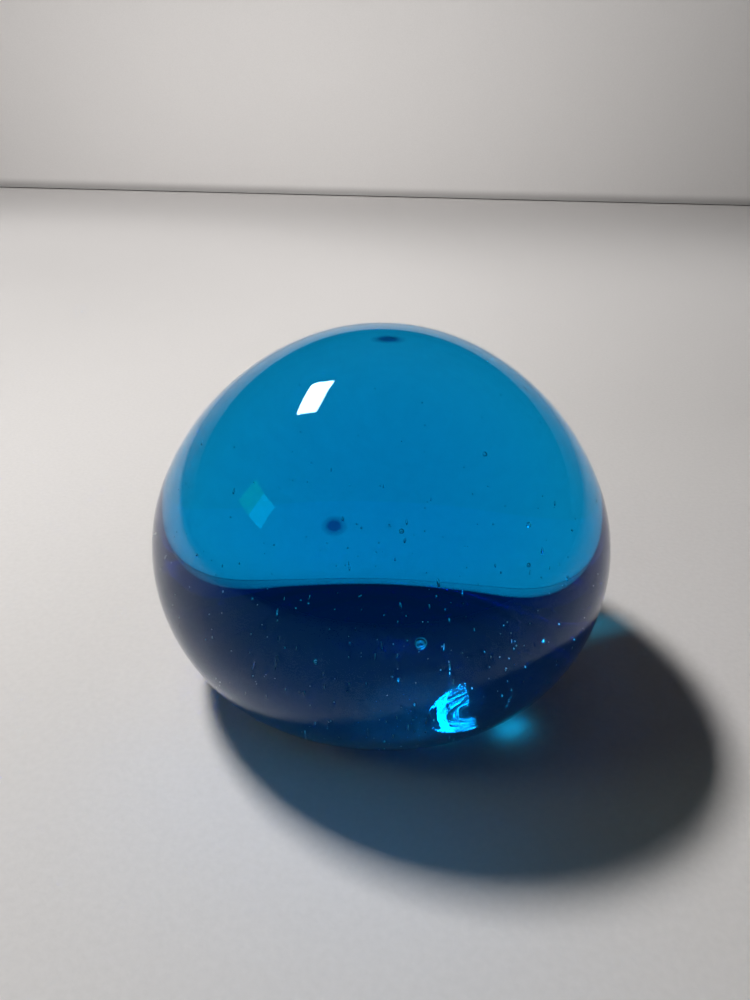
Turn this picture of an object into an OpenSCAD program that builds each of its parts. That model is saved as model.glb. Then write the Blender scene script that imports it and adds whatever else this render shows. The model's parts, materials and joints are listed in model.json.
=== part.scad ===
// Solid glass dome paperweight: one thick piece of blue glass with air trapped in it.
// Millimetres. The origin is the centre of the flat base, and +Z points up to the crown.

/* [Dome] */
// Width of the dome at its widest line
dome_d = 80; // [60:1:100]
// Height of the dome, as a share of its width
height_share = 0.78; // [0.76:0.01:0.80]
// Height of the widest line above the base, as a share of the width
widest_share = 0.305; // [0.290:0.005:0.320]
// Radius of the belly's curve, as a share of the width
belly_share = 0.38; // [0.36:0.01:0.40]
// Radius of the rounded foot below the belly, as a share of the width
foot_share = 0.24; // [0.15:0.01:0.26]
// Angle above the widest line where the belly's curve meets the flatter shoulder
belly_end = 25; // [20:1:30]
// Angle above the widest line where the shoulder meets the crown's curve
crown_start = 62; // [56:1:68]

/* [Trapped air] */
// Diameter of the one large bubble
large_bubble_d = 1.5; // [0.8:0.1:2.5]
// Diameter of the bubbles in the shoulder
shoulder_bubble_d = 0.7; // [0.5:0.1:1.2]
// Diameter of the bubbles in the belly
belly_bubble_d = 0.6; // [0.5:0.1:1.2]
// Diameter of each bubble in the rising string
string_bubble_d = 0.4; // [0.3:0.05:0.8]
// Number of bubbles in the rising string
string_count = 10; // [4:1:16]
// Width of the bubbles that were drawn out into threads
thread_bubble_d = 0.4; // [0.3:0.05:0.8]
// Diameter of the seeds, the fine bubbles all through the glass
seed_d = 0.45; // [0.3:0.05:0.8]
// Number of seeds
seed_count = 36; // [10:1:60]

/* [Hidden] */

dome_fn = 180;
bubble_fn = 24;

dome_r = dome_d / 2;
dome_h = dome_d * height_share;
widest_z = dome_d * widest_share;
belly_r = dome_d * belly_share;
foot_r = dome_d * foot_share;

// The outline is a chain of arcs, each tangent to the next: foot, belly, shoulder and crown.
// The shoulder's and the crown's radii follow from the width and height that the chain must reach.
rise = dome_h - widest_z - belly_r * sin(belly_end);
reach = dome_r - belly_r * (1 - cos(belly_end));
shoulder_out = cos(belly_end) - cos(crown_start);
shoulder_up = sin(crown_start) - sin(belly_end);
crown_out = cos(crown_start);
crown_up = 1 - sin(crown_start);
chain = shoulder_out * crown_up - crown_out * shoulder_up;
shoulder_r = (reach * crown_up - rise * crown_out) / chain;
crown_r = (rise * shoulder_out - reach * shoulder_up) / chain;

belly_c = [dome_r - belly_r, widest_z];
shoulder_c = belly_c + (belly_r - shoulder_r) * [cos(belly_end), sin(belly_end)];
crown_c = [0, dome_h - crown_r];

// Angle below the widest line where the belly's curve meets the rounded foot.
foot_start = asin((widest_z - foot_r) / (belly_r - foot_r));
foot_c = [belly_c[0] + (belly_r - foot_r) * cos(foot_start), foot_r];

// Places in the glass are shares of the dome's radius: [right, back, up].
large_bubble_at = [0.13, -0.49, 0.505];
shoulder_bubbles_at = [[0.47, -0.27, 0.81], [0.06, -0.44, 0.88], [0.33, -0.29, 1.10]];
belly_bubbles_at = [[0.53, -0.45, 0.50], [0.43, -0.54, 0.33], [0.48, -0.47, 0.78], [-0.20, -0.55, 0.47]];
threads_at = [[-0.16, -0.60, 0.27], [-0.03, -0.63, 0.26], [0.22, -0.50, 0.44], [0.18, -0.30, 0.60]];
thread_length = 1.6;
string_foot = [0.42, -0.52, 0.30];
string_rise = 0.34;
string_sway = 0.015;
string_sway_turn = 67;

// Seeds lie on a spiral of golden-angle steps, from the middle out, at heights that never repeat.
golden_angle = 137.508;
golden_share = 0.618;
seed_reach = 0.66;
seed_low = 0.22;
seed_high = 1.02;

function at(place) = place * dome_r;

function point_on(c, r, a) = [c[0] + r * cos(a), c[1] + r * sin(a)];

function string_place(i) = at([
    string_foot[0] + string_sway * sin(i * string_sway_turn),
    string_foot[1] + string_sway * cos(i * string_sway_turn),
    string_foot[2] + string_rise * i / string_count
]);

function seed_out(i) = seed_reach * sqrt((i + 0.5) / seed_count);

function seed_place(i) = at([
    seed_out(i) * cos(i * golden_angle),
    seed_out(i) * sin(i * golden_angle),
    seed_low + (seed_high - seed_low) * (i * golden_share - floor(i * golden_share))
]);

// The slice of a disc between two angles, with its tip at the disc's centre.
module disc_slice(c, r, from, to) {
    far = 2 * r;
    intersection() {
        translate(c) circle(r = r, $fn = dome_fn);
        polygon([c, point_on(c, far, from), point_on(c, far, (from + to) / 2), point_on(c, far, to)]);
    }
}

module half_outline() {
    intersection() {
        union() {
            disc_slice(foot_c, foot_r, -90, -foot_start);
            disc_slice(belly_c, belly_r, -foot_start, belly_end);
            disc_slice(shoulder_c, shoulder_r, belly_end, crown_start);
            disc_slice(crown_c, crown_r, crown_start, 90);
            polygon([
                [0, 0],
                [foot_c[0], 0],
                point_on(foot_c, foot_r, -foot_start),
                point_on(belly_c, belly_r, belly_end),
                point_on(crown_c, crown_r, crown_start),
                [0, dome_h]
            ]);
        }
        square([dome_r, dome_h]);
    }
}

module bubble(d) {
    sphere(d = d, $fn = bubble_fn);
}

// An upright drawn-out bubble with round ends.
module thread(d, length) {
    straight = length - d;
    translate([0, 0, -straight / 2]) cylinder(d = d, h = straight, $fn = bubble_fn);
    for (end = [-1, 1]) translate([0, 0, end * straight / 2]) sphere(d = d, $fn = bubble_fn);
}

module large_air() {
    translate(at(large_bubble_at)) bubble(large_bubble_d);
}

module shoulder_air() {
    for (place = shoulder_bubbles_at) translate(at(place)) bubble(shoulder_bubble_d);
}

module belly_air() {
    for (place = belly_bubbles_at) translate(at(place)) bubble(belly_bubble_d);
}

module string_air() {
    for (i = [0 : string_count - 1]) translate(string_place(i)) bubble(string_bubble_d);
}

module thread_air() {
    for (place = threads_at) translate(at(place)) thread(thread_bubble_d, thread_length);
}

module seed_air() {
    for (i = [0 : seed_count - 1]) translate(seed_place(i)) bubble(seed_d);
}

module glass_body() {
    color([0.0, 0.45, 0.71, 0.6])
        difference() {
            rotate_extrude($fn = dome_fn) half_outline();
            large_air();
            shoulder_air();
            belly_air();
            string_air();
            thread_air();
            seed_air();
        }
}

module large_bubble() {
    color([0.75, 0.93, 1.0]) large_air();
}

module shoulder_bubbles() {
    color([0.75, 0.93, 1.0]) shoulder_air();
}

module belly_bubbles() {
    color([0.75, 0.93, 1.0]) belly_air();
}

module bubble_string() {
    color([0.75, 0.93, 1.0]) string_air();
}

module thread_bubbles() {
    color([0.75, 0.93, 1.0]) thread_air();
}

module seed_bubbles() {
    color([0.75, 0.93, 1.0]) seed_air();
}

glass_body();
large_bubble();
shoulder_bubbles();
belly_bubbles();
bubble_string();
thread_bubbles();
seed_bubbles();
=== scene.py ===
import json
import math
import random

import bmesh
import bpy
from mathutils import Matrix, Vector, noise

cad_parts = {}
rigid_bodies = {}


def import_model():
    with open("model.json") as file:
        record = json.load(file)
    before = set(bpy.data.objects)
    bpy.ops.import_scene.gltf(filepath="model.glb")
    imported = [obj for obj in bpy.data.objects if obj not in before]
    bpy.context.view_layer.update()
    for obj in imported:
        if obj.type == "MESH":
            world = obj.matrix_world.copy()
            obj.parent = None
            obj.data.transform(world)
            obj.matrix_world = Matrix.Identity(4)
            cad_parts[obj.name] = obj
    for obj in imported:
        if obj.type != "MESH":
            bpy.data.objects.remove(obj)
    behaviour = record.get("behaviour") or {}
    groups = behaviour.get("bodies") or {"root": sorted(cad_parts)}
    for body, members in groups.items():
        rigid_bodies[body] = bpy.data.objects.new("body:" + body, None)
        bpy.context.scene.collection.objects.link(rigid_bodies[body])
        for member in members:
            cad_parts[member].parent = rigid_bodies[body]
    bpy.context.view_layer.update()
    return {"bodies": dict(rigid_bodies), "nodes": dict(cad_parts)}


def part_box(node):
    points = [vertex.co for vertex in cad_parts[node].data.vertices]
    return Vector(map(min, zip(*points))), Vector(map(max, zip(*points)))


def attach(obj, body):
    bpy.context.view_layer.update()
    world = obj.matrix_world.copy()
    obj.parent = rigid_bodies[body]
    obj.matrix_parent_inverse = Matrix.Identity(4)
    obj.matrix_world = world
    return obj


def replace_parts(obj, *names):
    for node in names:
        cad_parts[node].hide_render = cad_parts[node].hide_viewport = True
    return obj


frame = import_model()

glass_low, glass_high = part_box("glass_body")
DOME_R = (glass_high.x - glass_low.x) / 2
DOME_H = glass_high.z
BODY = next(iter(frame["bodies"]))
MM = 0.001

# The outline of the glass is a chain of tangent arcs. Lengths are shares of the dome's width.
WIDEST_SHARE = 0.305
BELLY_SHARE = 0.38
FOOT_SHARE = 0.24
BELLY_END = math.radians(25)
CROWN_START = math.radians(62)

# The glass mesh: points round each ring, and the steps along the outline in metres.
AROUND = 384
ARC_STEP = 0.00065
BASE_STEP = 0.0004

# The skin is a little uneven, as hand-made glass is, in metres. The base stays flat.
UNEVEN = 0.00002
UNEVEN_WAVE = 0.012
UNEVEN_FROM = 0.004

# The glass. The base is slightly rough, up to BASE_SKIN metres above the paper.
GLASS_IOR = 1.5
AIR_IN_GLASS_IOR = 1 / GLASS_IOR
ABSORB_COLOR = (0.0, 0.835, 0.959, 1.0)
ABSORB_DENSITY = 100.0
SURFACE_TINT = (0.08, 0.33, 0.62, 1.0)
SMUDGE_ROUGHNESS = 0.03
SMUDGE_SCALE = 55.0
SMUDGE_FROM = 0.62
SMUDGE_TO = 0.8
BASE_ROUGHNESS = 0.22
BASE_SKIN = 0.0002

# Two soft dark spots painted into the skin's colour, one at the crown and one on the front, each as its
# place in dome radii and its reach in metres.
CLEAR = (1.0, 1.0, 1.0, 1.0)
DARK_SPOT_COLOR = (0.03, 0.08, 0.24, 1.0)
DARK_SPOT_MIDDLE = 0.4
DARK_SPOTS = [((0.004, -0.108, 1.554), (0.0029, 0.0018, 0.0029)),
          ((-0.1635, -0.801, 1.120), (0.0019, 0.0015, 0.0015))]

# The bubbles. Tilts are in radians either way. Each bubble takes its own part of the noise.
BUBBLE_TILT = 0.2
BUBBLE_WAVE = 1.3
BUBBLE_VARIETY = 900
HAZE_SCALE = 900.0
HAZE_FROM = 0.35
HAZE_TO = 0.65

# The finest bubbles, in metres. SEED_BACK is in dome radii behind the middle. The powers make the
# lower places and the smaller sizes the commonest.
SEED_COUNT = 400
SEED_MARGIN = 0.0006
SEED_SMALLEST = 0.00014
SEED_SPREAD = 0.00018
SEED_SIZE_POWER = 2.5
SEED_HIGHEST = 0.85 * DOME_R
SEED_HEIGHT_POWER = 1.5
SEED_BACK = 0.25
SEED_TILT = 0.15
DRAWN_OUT_SHARE = 0.24
DRAWN_OUT = (2, 5)
NEARLY_ROUND = (0.9, 1.2)

# The air fold is a thin sheet set in the glass. Lengths across it are in mm. Real air would mirror
# the lamp more strongly than the fold should, so its index lies between those of air and glass.
FOLD_IOR = 0.86
FOLD_MIDDLE = Vector((0.193, 0.156, 0.035)) * DOME_R
FOLD_NORMAL = Vector((0.302, 0.322, -0.897)).normalized()
FOLD_REACH = 2.9
FOLD_STEP = 0.04
FOLD_THICK = 0.03
FOLD_BEND = -0.0104
FOLD_TILT = 0.015
FOLD_SHEAR = 0.93
STREAK_ACROSS = 0.91
STREAK_LIFT = 0.42

# Its ridges grow to the right, in mm. Noise shifts them, and makes the whole sheet wander too.
RIDGE_HEIGHT = 0.0070
RIDGE_TURNS = 25
RIDGE_LEAST = 0.4
RIDGE_SHARE = 0.75
RIDGE_GROWTH = 0.35
PHASE_STRAY = 4
STRAY_SCALE = 1.6
STRAY_SLICE = 5.0
WANDER = 0.006
WANDER_ACROSS = 1.3
WANDER_LIFT = 1.7
WANDER_SLICE = 3.0

# The fold's ragged outline, in mm. Noise frays it, more at the top than at the foot.
FRAY = 0.5
FRAY_ALONG = 0.8
FRAY_SIDE = 5.0
FRAY_SLICE = 8.0
TOP_FRAY = 0.6
LOWEST_FRAY = 0.4
LEFT_EDGE = -1.5
RIGHT_EDGE = 1.5
RIGHT_LEAN = 0.5
TOP_EDGE = 1.0
TOP_SLOPE = 0.66
LOWEST = -0.7
TAIL_EDGE = -0.9
TAIL_LOWEST = -0.12
SLITS_FROM = -0.2
SLIT_TURNS = 16
SLIT_CUT = 0.45

# The paper sheet and the board behind it, in metres.
PAPER_COLOR = (0.76, 0.74, 0.73)
PAPER_GRAIN = 0.04
GRAIN_SCALE = 900.0
GRAIN_FROM = 0.3
GRAIN_TO = 0.7
PAPER_HALF = 2.5
PAPER_TOP = -0.0001
BOARD_AWAY = 20.5 * DOME_R
BOARD_FOOT = 0.0008
BOARD_TOP = 0.26

# Painted shade against the lamp's pool of light: the sheet is darkest within the near reach of a place by
# the lamp's foot, and not darkened beyond the far reach, in dome radii.
PAINTED_SHADE_AT = Vector((-6.5, 6.5, 0))
PAINTED_SHADE_NEAR = 1.5
PAINTED_SHADE_FAR = 8.0
PAINTED_SHADE_DARKEST = 0.7

# The shadow at the foot of the board, between two heights in metres.
BOARD_SHADE = 0.55
BOARD_SHADE_FROM = 0.002
BOARD_SHADE_TO = 0.012

# The flecks, in metres, and the shade of their core and rim.
FLECK_RADIUS = 0.00015
FLECK_RISE = 0.05 * FLECK_RADIUS
FLECK_CORE = 0.3 * FLECK_RADIUS
FLECK_CORE_SHADE = 0.2
FLECK_RIM_SHADE = 0.97
FLECK_POINTS = 20

# The room round the table.
ROOM_DARK = (0.003, 0.003, 0.0033)
ROOM_CEILING = (0.05, 0.05, 0.051)
CEILING_FROM = 0.45

# The window stands to the left, low over the table. Its angles are seen from WINDOW_SEEN_FROM.
WINDOW_TURN = math.radians(-106.5)
WINDOW_RISE = math.radians(28.5)
WINDOW_WIDTH = math.radians(20)
WINDOW_HEIGHT = math.radians(10)
WINDOW_AWAY = 14
WINDOW_SEEN_FROM = Vector((0, 0, 1))

# The desk lamp's panel. Places and sizes of lamps are in dome radii.
DESK_AT = Vector((-6.93, 4.71, 13.62))
DESK_ACROSS = (0.91, -0.42, 0)
DESK_ALONG = (0.42, 0.91, 0)
DESK_COLOR = (1.0, 0.98, 0.965)
PANEL_DROP = Vector((0, 0, 0.1))
FILL_COLOR = (1.0, 0.99, 0.98)

# The camera. Distances are in dome radii, and the lens is a share of the sensor. It looks at a
# place CAMERA_ASIDE and CAMERA_ABOVE from CAMERA_TARGET, across and up the picture.
CAMERA_TARGET = Vector((0, 0, 0.5))
CAMERA_ELEVATION = math.radians(27.7)
CAMERA_ROLL = math.radians(1.41)
CAMERA_AWAY = 3.464
CAMERA_ASIDE = -0.031
CAMERA_ABOVE = 0.265
SENSOR_MM = 36.0
LENS_SHARE = 0.751


def new_object(name, verts, faces, material, smooth=True):
    mesh = bpy.data.meshes.new(name)
    mesh.from_pydata(verts, [], faces)
    mesh.update()
    mesh.polygons.foreach_set("use_smooth", [smooth] * len(mesh.polygons))
    mesh.materials.append(material)
    piece = bpy.data.objects.new(name, mesh)
    bpy.context.scene.collection.objects.link(piece)
    return piece


# ---------------------------------------------------------------- materials

def principled(name):
    material = bpy.data.materials.new(name)
    material.use_nodes = True
    tree = material.node_tree
    return material, tree, tree.nodes["Principled BSDF"]


def math_node(tree, operation, first, second):
    node = tree.nodes.new("ShaderNodeMath")
    node.operation = operation
    tree.links.new(first, node.inputs[0])
    tree.links.new(second, node.inputs[1])
    return node


def noise_node(tree, scale, detail=3.0):
    coords = tree.nodes.new("ShaderNodeTexCoord")
    texture = tree.nodes.new("ShaderNodeTexNoise")
    texture.inputs["Scale"].default_value = scale
    texture.inputs["Detail"].default_value = detail
    tree.links.new(coords.outputs["Object"], texture.inputs["Vector"])
    return texture


def ramp_node(tree, source, low, high, start=0.0, end=1.0):
    ramp = tree.nodes.new("ShaderNodeValToRGB")
    ramp.color_ramp.elements[0].position = start
    ramp.color_ramp.elements[1].position = end
    ramp.color_ramp.elements[0].color = low
    ramp.color_ramp.elements[1].color = high
    tree.links.new(source, ramp.inputs["Fac"])
    return ramp


def range_node(tree, source, from_low, from_high, to_low, to_high):
    spread = tree.nodes.new("ShaderNodeMapRange")
    spread.inputs["From Min"].default_value = from_low
    spread.inputs["From Max"].default_value = from_high
    spread.inputs["To Min"].default_value = to_low
    spread.inputs["To Max"].default_value = to_high
    tree.links.new(source, spread.inputs["Value"])
    return spread


def bump_node(tree, height, strength, distance):
    bump = tree.nodes.new("ShaderNodeBump")
    bump.inputs["Strength"].default_value = strength
    bump.inputs["Distance"].default_value = distance
    tree.links.new(height, bump.inputs["Height"])
    return bump


def height_output(tree):
    """The height of a place on a piece, in metres."""
    coords = tree.nodes.new("ShaderNodeTexCoord")
    parts = tree.nodes.new("ShaderNodeSeparateXYZ")
    tree.links.new(coords.outputs["Object"], parts.inputs["Vector"])
    return parts.outputs["Z"]


def distance_output(tree, place, reach=(1.0, 1.0, 1.0)):
    """How far a place on a piece is from place, in metres or, where reach is given, in reaches."""
    coords = tree.nodes.new("ShaderNodeTexCoord")
    shift = tree.nodes.new("ShaderNodeVectorMath")
    shift.operation = "SUBTRACT"
    shift.inputs[1].default_value = place
    tree.links.new(coords.outputs["Object"], shift.inputs[0])
    squash = tree.nodes.new("ShaderNodeVectorMath")
    squash.operation = "DIVIDE"
    squash.inputs[1].default_value = reach
    tree.links.new(shift.outputs["Vector"], squash.inputs[0])
    away = tree.nodes.new("ShaderNodeVectorMath")
    away.operation = "LENGTH"
    tree.links.new(squash.outputs["Vector"], away.inputs[0])
    return away.outputs["Value"]


def clearness(tree, place, reach):
    """0 in the middle of a painted dark spot, rising to 1 at its edge. place is in dome radii, reach in
    metres.
    """
    away = distance_output(tree, Vector(place) * DOME_R, reach)
    return range_node(tree, away, DARK_SPOT_MIDDLE, 1.0, 0.0, 1.0).outputs["Result"]


def glass_material():
    material, tree, shader = principled("blue_glass")
    shader.inputs["Transmission Weight"].default_value = 1.0
    shader.inputs["IOR"].default_value = GLASS_IOR
    shader.inputs["Specular Tint"].default_value = SURFACE_TINT
    smudge = range_node(tree, noise_node(tree, SMUDGE_SCALE, detail=5.0).outputs["Fac"],
                        SMUDGE_FROM, SMUDGE_TO, 0.0, SMUDGE_ROUGHNESS)
    base = range_node(tree, height_output(tree), BASE_SKIN / 2, BASE_SKIN, BASE_ROUGHNESS, 0.0)
    rough = math_node(tree, "MAXIMUM", smudge.outputs["Result"], base.outputs["Result"])
    tree.links.new(rough.outputs["Value"], shader.inputs["Roughness"])
    clear = math_node(tree, "MINIMUM", *[clearness(tree, place, reach) for place, reach in DARK_SPOTS])
    tint = ramp_node(tree, clear.outputs["Value"], DARK_SPOT_COLOR, CLEAR)
    tree.links.new(tint.outputs["Color"], shader.inputs["Base Color"])
    absorb = tree.nodes.new("ShaderNodeVolumeAbsorption")
    absorb.inputs["Color"].default_value = ABSORB_COLOR
    absorb.inputs["Density"].default_value = ABSORB_DENSITY
    tree.links.new(absorb.outputs["Volume"], tree.nodes["Material Output"].inputs["Volume"])
    return material


def air_material(name, smooth, rough, index=AIR_IN_GLASS_IOR):
    """Air in the glass. Its skin's roughness varies between smooth and rough."""
    material, tree, shader = principled(name)
    shader.inputs["Base Color"].default_value = CLEAR
    shader.inputs["Transmission Weight"].default_value = 1.0
    shader.inputs["IOR"].default_value = index
    haze = range_node(tree, noise_node(tree, HAZE_SCALE).outputs["Fac"], HAZE_FROM, HAZE_TO, smooth, rough)
    tree.links.new(haze.outputs["Result"], shader.inputs["Roughness"])
    return material


def paper_material(name, shade):
    """Fine-grained paper. shade(tree) makes a node whose first output dims it by place."""
    material, tree, shader = principled(name)
    grain = noise_node(tree, GRAIN_SCALE, detail=6.0)
    dark = tuple(c * (1 - PAPER_GRAIN) for c in PAPER_COLOR)
    tint = ramp_node(tree, grain.outputs["Fac"], (*dark, 1.0), (*PAPER_COLOR, 1.0), GRAIN_FROM, GRAIN_TO)
    dim = tree.nodes.new("ShaderNodeVectorMath")
    dim.operation = "MULTIPLY"
    tree.links.new(tint.outputs["Color"], dim.inputs[0])
    tree.links.new(shade(tree).outputs[0], dim.inputs[1])
    tree.links.new(dim.outputs["Vector"], shader.inputs["Base Color"])
    bump = bump_node(tree, grain.outputs["Fac"], strength=0.15, distance=0.0002)
    tree.links.new(bump.outputs["Normal"], shader.inputs["Normal"])
    shader.inputs["Roughness"].default_value = 0.85
    shader.inputs["Specular IOR Level"].default_value = 0.1
    return material


# ---------------------------------------------------------------- the glass

def outline():
    """Half the dome's outline, from the middle of the base to the crown, as (radius, height)."""
    widest = WIDEST_SHARE * 2 * DOME_R
    belly = BELLY_SHARE * 2 * DOME_R
    foot = FOOT_SHARE * 2 * DOME_R
    rise = DOME_H - widest - belly * math.sin(BELLY_END)
    reach = DOME_R - belly * (1 - math.cos(BELLY_END))
    shoulder_out = math.cos(BELLY_END) - math.cos(CROWN_START)
    shoulder_up = math.sin(CROWN_START) - math.sin(BELLY_END)
    crown_out = math.cos(CROWN_START)
    crown_up = 1 - math.sin(CROWN_START)
    chain = shoulder_out * crown_up - crown_out * shoulder_up
    shoulder = (reach * crown_up - rise * crown_out) / chain
    crown = (rise * shoulder_out - reach * shoulder_up) / chain
    foot_start = math.asin((widest - foot) / (belly - foot))

    belly_at = (DOME_R - belly, widest)
    foot_at = (belly_at[0] + (belly - foot) * math.cos(foot_start), foot)
    shoulder_at = (belly_at[0] + (belly - shoulder) * math.cos(BELLY_END),
                   belly_at[1] + (belly - shoulder) * math.sin(BELLY_END))
    crown_at = (0.0, DOME_H - crown)

    points = [(i * BASE_STEP, 0.0) for i in range(1, int(foot_at[0] / BASE_STEP))]
    arcs = [(foot_at, foot, -math.pi / 2, -foot_start),
            (belly_at, belly, -foot_start, BELLY_END),
            (shoulder_at, shoulder, BELLY_END, CROWN_START),
            (crown_at, crown, CROWN_START, math.pi / 2)]
    for centre, radius, start, end in arcs:
        steps = max(2, round(radius * (end - start) / ARC_STEP))
        for i in range(steps):
            angle = start + (end - start) * i / steps
            points.append((centre[0] + radius * math.cos(angle), centre[1] + radius * math.sin(angle)))
    return points


OUTLINE = outline()


def hand_made(place):
    """Moves a place on the glass in or out a little. The base stays flat."""
    fade = min(1.0, place.z / UNEVEN_FROM)
    swell = noise.noise(place / UNEVEN_WAVE) * UNEVEN * fade
    return place + (place - Vector((0, 0, DOME_H / 2))).normalized() * swell


def glass_dome():
    verts = [(0.0, 0.0, 0.0)]
    for radius, height in OUTLINE:
        for k in range(AROUND):
            turn = 2 * math.pi * k / AROUND
            verts.append((radius * math.cos(turn), radius * math.sin(turn), height))
    verts.append((0.0, 0.0, DOME_H))
    verts = [hand_made(Vector(v)) for v in verts]
    top = len(verts) - 1
    last = 1 + (len(OUTLINE) - 1) * AROUND
    faces = []
    for k in range(AROUND):
        after = (k + 1) % AROUND
        faces.append((0, 1 + after, 1 + k))
        faces.append((top, last + k, last + after))
    for i in range(len(OUTLINE) - 1):
        row = 1 + i * AROUND
        for k in range(AROUND):
            after = (k + 1) % AROUND
            faces.append((row + k, row + after, row + AROUND + after, row + AROUND + k))
    dome = new_object("glass_dome", verts, faces, glass_material())
    dome.cycles.is_caustics_caster = True
    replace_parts(dome, "glass_body")
    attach(dome, BODY)


# ---------------------------------------------------------------- camera and light

def camera():
    ahead = Vector((0, math.cos(CAMERA_ELEVATION), -math.sin(CAMERA_ELEVATION)))
    right = Vector((1, 0, 0))
    up = Vector((0, math.sin(CAMERA_ELEVATION), math.cos(CAMERA_ELEVATION)))
    target = CAMERA_TARGET + CAMERA_ASIDE * right + CAMERA_ABOVE * up
    rolled_right = math.cos(CAMERA_ROLL) * right + math.sin(CAMERA_ROLL) * up
    rolled_up = -math.sin(CAMERA_ROLL) * right + math.cos(CAMERA_ROLL) * up
    data = bpy.data.cameras.new("camera")
    data.sensor_fit = "AUTO"
    data.sensor_width = SENSOR_MM
    data.lens = SENSOR_MM * LENS_SHARE
    data.clip_start = 0.001
    place = bpy.data.objects.new("camera", data)
    bpy.context.scene.collection.objects.link(place)
    place.matrix_world = (Matrix.Translation((target - CAMERA_AWAY * ahead) * DOME_R)
                          @ Matrix((rolled_right, rolled_up, -ahead)).transposed().to_4x4())
    bpy.context.scene.camera = place


def area_light(name, middle, across, along, size, watts, color):
    """A one-sided rectangular light, placed and sized in dome radii. It shines the way that the cross
    product of along and across points."""
    data = bpy.data.lights.new(name, "AREA")
    data.shape = "RECTANGLE"
    data.size = size[0] * DOME_R
    data.size_y = size[1] * DOME_R
    data.energy = watts
    data.color = color
    place = bpy.data.objects.new(name, data)
    bpy.context.scene.collection.objects.link(place)
    across = Vector(across).normalized()
    along = Vector(along).normalized()
    place.matrix_world = (Matrix.Translation(Vector(middle) * DOME_R)
                          @ Matrix((across, along, across.cross(along))).transposed().to_4x4())
    return place


def seen_by(light, diffuse=True, glossy=True, transmission=True):
    """Chooses which rays can find a light. The camera never sees it."""
    light.visible_camera = False
    light.visible_diffuse = diffuse
    light.visible_glossy = glossy
    light.visible_transmission = transmission


def window_light(name, offset, width, watts, color):
    """A piece of the window. offset moves it sideways as an angle."""
    turn = WINDOW_TURN + offset
    toward = Vector((math.sin(turn) * math.cos(WINDOW_RISE), math.cos(turn) * math.cos(WINDOW_RISE),
                     math.sin(WINDOW_RISE)))
    across = Vector((math.cos(turn), -math.sin(turn), 0))
    size = (WINDOW_HEIGHT * WINDOW_AWAY, width * WINDOW_AWAY * math.cos(WINDOW_RISE))
    return area_light(name, toward * WINDOW_AWAY + WINDOW_SEEN_FROM, across.cross(toward), across,
                      size, watts, color)


def desk_lamp():
    """The middle of the lamp's panel does the lighting. The whole panel shows as the highlight. It hangs
    a little lower, because lights in one plane hide each other."""
    middle = area_light("desk_lamp", DESK_AT, DESK_ACROSS, DESK_ALONG,
                        size=(2.0, 3.0), watts=4.0, color=DESK_COLOR)
    middle.data.cycles.is_caustics_light = True
    seen_by(middle, glossy=False)
    whole = area_light("desk_panel", DESK_AT - PANEL_DROP, DESK_ACROSS, DESK_ALONG,
                       size=(2.8, 4.2), watts=5.0, color=DESK_COLOR)
    seen_by(whole, diffuse=False, transmission=False)


def window():
    """The whole window lights the table. Its near and far halves are the two tints of its reflection."""
    whole = window_light("side_window", offset=0.0, width=WINDOW_WIDTH, watts=0.12, color=(0.9, 1.0, 0.7))
    whole.data.cycles.is_caustics_light = True
    seen_by(whole, glossy=False)
    halves = [("window_near", WINDOW_WIDTH / 4, 0.09, (0.0, 1.0, 0.06)),
              ("window_far", -WINDOW_WIDTH / 4, 0.17, (0.0, 1.0, 0.95))]
    for name, offset, watts, color in halves:
        half = window_light(name, offset, WINDOW_WIDTH / 2, watts, color)
        seen_by(half, diffuse=False, transmission=False)


def fill_lights(board):
    """Even light on the board, which alone gets the first lamp, and on the far end of the table."""
    backdrop = area_light("backdrop_lamp", (-2.5, 11.0, 4.0), (1, 0, 0), (0, 0.17, 0.98),
                          size=(14, 5), watts=0.47, color=FILL_COLOR)
    seen_by(backdrop, glossy=False, transmission=False)
    lit = bpy.data.collections.new("lit_by_backdrop_lamp")
    lit.objects.link(board)
    backdrop.light_linking.receiver_collection = lit
    area_light("far_lamp", (6.0, 7.0, 10.0), (1, 0, 0), (0, 0.35, 0.94),
               size=(8, 4), watts=0.65, color=FILL_COLOR)


def glass_glow():
    """Lights that stand in for what the glass throws on the paper in its own shadow, and for what the
    paper and the base send back into the glass."""
    shade = area_light("blue_shade", (-0.3, -1.05, 0.62), (0.93, -0.37, 0), (0.37, 0.93, 0),
                       size=(1.5, 0.25), watts=0.0012, color=(0.0, 0.4, 1.0))
    spot = area_light("blue_glow", (0.575, -0.545, 0.055), (0.83, 0.55, 0), (-0.55, 0.83, 0),
                      size=(0.13, 0.03), watts=0.00006, color=(0.0, 0.52, 1.0))
    for light in (shade, spot):
        seen_by(light, glossy=False, transmission=False)
    base = area_light("base_glow", (0, 0, 0.2), (1, 0, 0), (0, -1, 0),
                      size=(1.64, 1.64), watts=0.00046, color=(0.0, 0.36, 1.0))
    base.data.shape = "DISK"
    seen_by(base, diffuse=False, glossy=False)


def world():
    """A dark room whose ceiling gets a little light."""
    background = bpy.data.worlds.new("dark_room")
    bpy.context.scene.world = background
    background.use_nodes = True
    tree = background.node_tree
    coords = tree.nodes.new("ShaderNodeTexCoord")
    parts = tree.nodes.new("ShaderNodeSeparateXYZ")
    tree.links.new(coords.outputs["Generated"], parts.inputs["Vector"])
    rise = range_node(tree, parts.outputs["Z"], CEILING_FROM, 1.0, 0.0, 1.0)
    ramp = ramp_node(tree, rise.outputs["Result"], (*ROOM_DARK, 1), (*ROOM_CEILING, 1))
    tree.links.new(ramp.outputs["Color"], tree.nodes["Background"].inputs["Color"])


# ---------------------------------------------------------------- the paper

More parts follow.
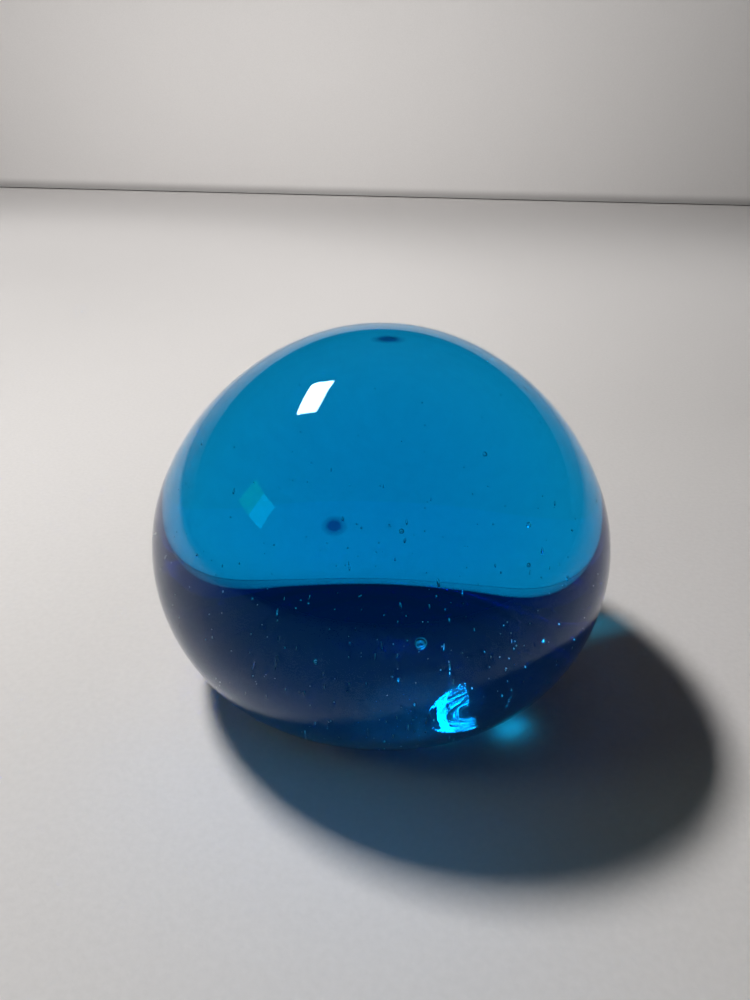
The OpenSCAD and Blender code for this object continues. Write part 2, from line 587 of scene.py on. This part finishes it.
def painted_sheet_shade(tree):
    """Painted shade: the sheet on the table is darkened towards the foot of the lamp, where the lamp lights
    it most.
    """
    away = distance_output(tree, PAINTED_SHADE_AT * DOME_R)
    shade = range_node(tree, away, PAINTED_SHADE_NEAR * DOME_R, PAINTED_SHADE_FAR * DOME_R, PAINTED_SHADE_DARKEST, 1.0)
    shade.interpolation_type = "SMOOTHSTEP"
    return shade


def board_shade(tree):
    """The foot of the board stands in its own soft shadow."""
    shade = range_node(tree, height_output(tree), BOARD_SHADE_FROM, BOARD_SHADE_TO, BOARD_SHADE, 1.0)
    shade.interpolation_type = "SMOOTHSTEP"
    return shade


def fleck(name, x, y):
    """A faint speck on the paper, darkest in the middle. Its place is in dome radii."""
    place = Vector((x, y, 0)) * DOME_R

    def spot_shade(tree):
        away = distance_output(tree, place)
        return range_node(tree, away, FLECK_CORE, FLECK_RADIUS, FLECK_CORE_SHADE, FLECK_RIM_SHADE)

    turns = [2 * math.pi * k / FLECK_POINTS for k in range(FLECK_POINTS)]
    rim = [place + FLECK_RADIUS * Vector((math.cos(turn), math.sin(turn), 0)) for turn in turns]
    crown = place + Vector((0, 0, FLECK_RISE))
    faces = [(k, (k + 1) % FLECK_POINTS, FLECK_POINTS) for k in range(FLECK_POINTS)]
    return new_object(name, rim + [crown], faces, paper_material(name, spot_shade))


def floor():
    half, back = PAPER_HALF, BOARD_AWAY
    paper = new_object("floor", [(-half, -half, PAPER_TOP), (half, -half, PAPER_TOP),
                                 (half, half, PAPER_TOP), (-half, half, PAPER_TOP)],
                       [(0, 1, 2, 3)], paper_material("paper", painted_sheet_shade), smooth=False)
    paper.cycles.is_caustics_receiver = True
    board = new_object("backdrop", [(-half, back, BOARD_FOOT), (half, back, BOARD_FOOT),
                                    (half, back, BOARD_TOP), (-half, back, BOARD_TOP)],
                       [(0, 1, 2, 3)], paper_material("board", board_shade), smooth=False)
    flecks = [fleck("fleck_b", x=0.03, y=1.09), fleck("fleck_c", x=0.22, y=1.20)]
    return board


# ---------------------------------------------------------------- the trapped air

def ball(steps):
    """Vertices and faces of a unit ball, rounded from an icosahedron."""
    made = bmesh.new()
    bmesh.ops.create_icosphere(made, subdivisions=steps, radius=1.0)
    verts = [v.co.copy() for v in made.verts]
    faces = [tuple(v.index for v in f.verts) for f in made.faces]
    made.free()
    return verts, faces


BALLS = {steps: ball(steps) for steps in (2, 3, 4)}
AIR = air_material("trapped_air", smooth=0.0, rough=0.04)


def blob(parts, place, size, steps, uneven, tilt):
    """Adds one bubble to parts. size is its three diameters. uneven is how far its skin strays from an
    ellipsoid, as a share of its size."""
    verts, faces = BALLS[steps]
    start = len(parts[0])
    lean = Matrix.Rotation(tilt, 3, "Y")
    for v in verts:
        swell = 1 + uneven * noise.noise(v * BUBBLE_WAVE + place * BUBBLE_VARIETY)
        at = lean @ Vector((v.x * size[0], v.y * size[1], v.z * size[2])) * (swell / 2)
        parts[0].append(place + at)
    parts[1].extend(tuple(i + start for i in face) for face in faces)


def air_piece(name, parts, material):
    piece = new_object(name, parts[0], parts[1], material)
    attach(piece, BODY)
    return piece


def solids_of(node):
    """The separate solids of a CAD node, each as (middle, three diameters). Corners at the same place,
    to a micrometre, are one."""
    mesh = frame["nodes"][node].data
    parent = {}

    def root(i):
        while parent.setdefault(i, i) != i:
            parent[i] = parent[parent[i]]
            i = parent[i]
        return i

    keys = [tuple(round(c * 1e6) for c in v.co) for v in mesh.vertices]
    for edge in mesh.edges:
        parent[root(keys[edge.vertices[0]])] = root(keys[edge.vertices[1]])
    groups = {}
    for v, key in zip(mesh.vertices, keys):
        groups.setdefault(root(key), []).append(v.co)
    found = []
    for points in groups.values():
        low = Vector(min(p[i] for p in points) for i in range(3))
        high = Vector(max(p[i] for p in points) for i in range(3))
        found.append(((low + high) / 2, high - low))
    return sorted(found, key=lambda s: tuple(s[0]))


def bubbles(node, steps, uneven, shrink=(1.0, 1.0)):
    """Hand-blown bubbles in the places of a CAD node's solids, some of them drawn smaller."""
    draw = random.Random(node)
    parts = ([], [])
    for middle, size in solids_of(node):
        shrunk = size * draw.uniform(*shrink)
        blob(parts, middle, shrunk, steps, uneven, draw.uniform(-BUBBLE_TILT, BUBBLE_TILT))
    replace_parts(air_piece(node + "_air", parts, AIR), node)


def inside(place, margin):
    """True if a place is in the glass, at least margin from its surface."""
    out = math.hypot(place.x, place.y)
    for (r0, z0), (r1, z1) in zip(OUTLINE, OUTLINE[1:]):
        if z0 <= place.z <= z1 and z1 > z0:
            return out < r0 + (r1 - r0) * (place.z - z0) / (z1 - z0) - margin and place.z > margin
    return False


def fine_seeds():
    """The finest bubbles, thickest low down. One in four was drawn out upwards."""
    draw = random.Random(7)
    parts = ([], [])
    made = 0
    while made < SEED_COUNT:
        place = Vector((draw.uniform(-1, 1), draw.uniform(-1, SEED_BACK),
                        draw.random() ** SEED_HEIGHT_POWER)) * DOME_R
        if place.z > SEED_HIGHEST or not inside(place, SEED_MARGIN):
            continue
        wide = SEED_SMALLEST + SEED_SPREAD * draw.random() ** SEED_SIZE_POWER
        stretch = DRAWN_OUT if draw.random() < DRAWN_OUT_SHARE else NEARLY_ROUND
        tall = wide * draw.uniform(*stretch)
        blob(parts, place, (wide, wide, tall), steps=2, uneven=0.0, tilt=draw.uniform(-SEED_TILT, SEED_TILT))
        made += 1
    air_piece("fine_seeds", parts, air_material("frosted_air", smooth=0.35, rough=0.6))


# ---------------------------------------------------------------- the air fold

def streak_place(u, v):
    """A place in the fold as (lift, along, side), by the direction its streaks run. All are in mm."""
    lift = v - FOLD_SHEAR * u
    along = STREAK_ACROSS * u + STREAK_LIFT * lift
    side = STREAK_LIFT * u - STREAK_ACROSS * lift
    return lift, along, side


def fold_height(u, v):
    """How far the fold's skin strays from its plane, in mm, at u across and v up the slope in mm."""
    lift, along, side = streak_place(u, v)
    ridged = min(1.0, max(RIDGE_LEAST, RIDGE_SHARE + RIDGE_GROWTH * u))
    stray = noise.noise(Vector((u * STRAY_SCALE, lift * STRAY_SCALE, STRAY_SLICE)))
    ridges = RIDGE_HEIGHT * ridged * math.sin(side * RIDGE_TURNS + PHASE_STRAY * stray)
    wander = WANDER * noise.noise(Vector((u * WANDER_ACROSS, lift * WANDER_LIFT, WANDER_SLICE)))
    return FOLD_BEND * v * v + FOLD_TILT * lift + ridges + wander


def in_fold(u, v):
    """True inside the ragged outline of the fold, and not in one of its slits."""
    lift, along, side = streak_place(u, v)
    frayed = FRAY * noise.noise(Vector((along * FRAY_ALONG, side * FRAY_SIDE, FRAY_SLICE)))
    upper = lift < TOP_SLOPE * u + TOP_EDGE + TOP_FRAY * frayed and u > LEFT_EDGE + frayed
    right = u < RIGHT_EDGE - RIGHT_LEAN * max(lift, 0.0) + frayed
    lowest = TAIL_LOWEST if u < TAIL_EDGE else LOWEST
    slit = u > SLITS_FROM and math.sin(side * SLIT_TURNS + PHASE_STRAY * frayed) > SLIT_CUT
    return upper and right and lift > lowest + LOWEST_FRAY * frayed and not slit


def without_corner_joins(cells):
    """Fills the gap beside cells that touch only at a corner, which would share one edge four ways."""
    filled = cells
    while filled:
        cells = cells | filled
        filled = {(i + side, j) for i, j in cells for side in (-1, 1)
                  if (i + side, j + 1) in cells
                  and (i + side, j) not in cells and (i, j + 1) not in cells}
    return cells


def air_fold():
    """A thin sheet of air folded in near the base. It mirrors the lamp as a streaky patch."""
    across = Vector((FOLD_NORMAL.y, -FOLD_NORMAL.x, 0)).normalized()
    up = across.cross(FOLD_NORMAL)
    verts, faces, index = [], [], {}

    def corner(i, j, side):
        """The index of a corner of the grid on the fold's one side, 0, or its other side, 1."""
        if (i, j, side) not in index:
            u, v = i * FOLD_STEP, j * FOLD_STEP
            out = fold_height(u, v) + side * FOLD_THICK
            index[i, j, side] = len(verts)
            verts.append(FOLD_MIDDLE + (across * u + up * v - FOLD_NORMAL * out) * MM)
        return index[i, j, side]

    count = int(FOLD_REACH / FOLD_STEP)
    cells = {(i, j) for i in range(-count, count) for j in range(-count, count)
             if in_fold((i + 0.5) * FOLD_STEP, (j + 0.5) * FOLD_STEP)}
    cells = without_corner_joins(cells)
    for i, j in sorted(cells):
        ring = [(i, j), (i + 1, j), (i + 1, j + 1), (i, j + 1)]
        faces.append(tuple(corner(a, b, 1) for a, b in ring))
        faces.append(tuple(corner(a, b, 0) for a, b in reversed(ring)))
        for (a, b), (c, d) in zip(ring, ring[1:] + ring[:1]):
            beside = (a + c - i - 1, b + d - j - 1)
            if beside not in cells:
                faces.append((corner(a, b, 1), corner(a, b, 0), corner(c, d, 0), corner(c, d, 1)))
    skin = air_material("fold_air", smooth=0.0, rough=0.02, index=FOLD_IOR)
    air_piece("air_fold", (verts, faces), skin)


def render_settings():
    """Long light paths and caustics, for thick glass."""
    scene = bpy.context.scene
    scene.view_settings.view_transform = "Standard"
    scene.cycles.max_bounces = 24
    scene.cycles.transmission_bounces = 24
    scene.cycles.glossy_bounces = 8
    scene.cycles.diffuse_bounces = 4
    scene.cycles.caustics_refractive = True
    scene.cycles.caustics_reflective = True
    scene.cycles.blur_glossy = 0.0
    scene.cycles.sample_clamp_indirect = 0.0
    scene.cycles.use_guiding = True
    scene.cycles.use_adaptive_sampling = False
    scene.cycles.sampling_pattern = "TABULATED_SOBOL"
    scene.cycles.use_denoising = True
    scene.cycles.denoiser = "OPENIMAGEDENOISE"


camera()
desk_lamp()
window()
fill_lights(floor())
glass_glow()
world()

glass_dome()
bubbles("large_bubble", steps=4, uneven=0.10)
bubbles("shoulder_bubbles", steps=3, uneven=0.10)
bubbles("belly_bubbles", steps=3, uneven=0.15)
bubbles("bubble_string", steps=3, uneven=0.10, shrink=(0.6, 1.0))
bubbles("thread_bubbles", steps=3, uneven=0.10, shrink=(0.7, 1.0))
bubbles("seed_bubbles", steps=3, uneven=0.10, shrink=(0.3, 0.55))
fine_seeds()
air_fold()
render_settings()
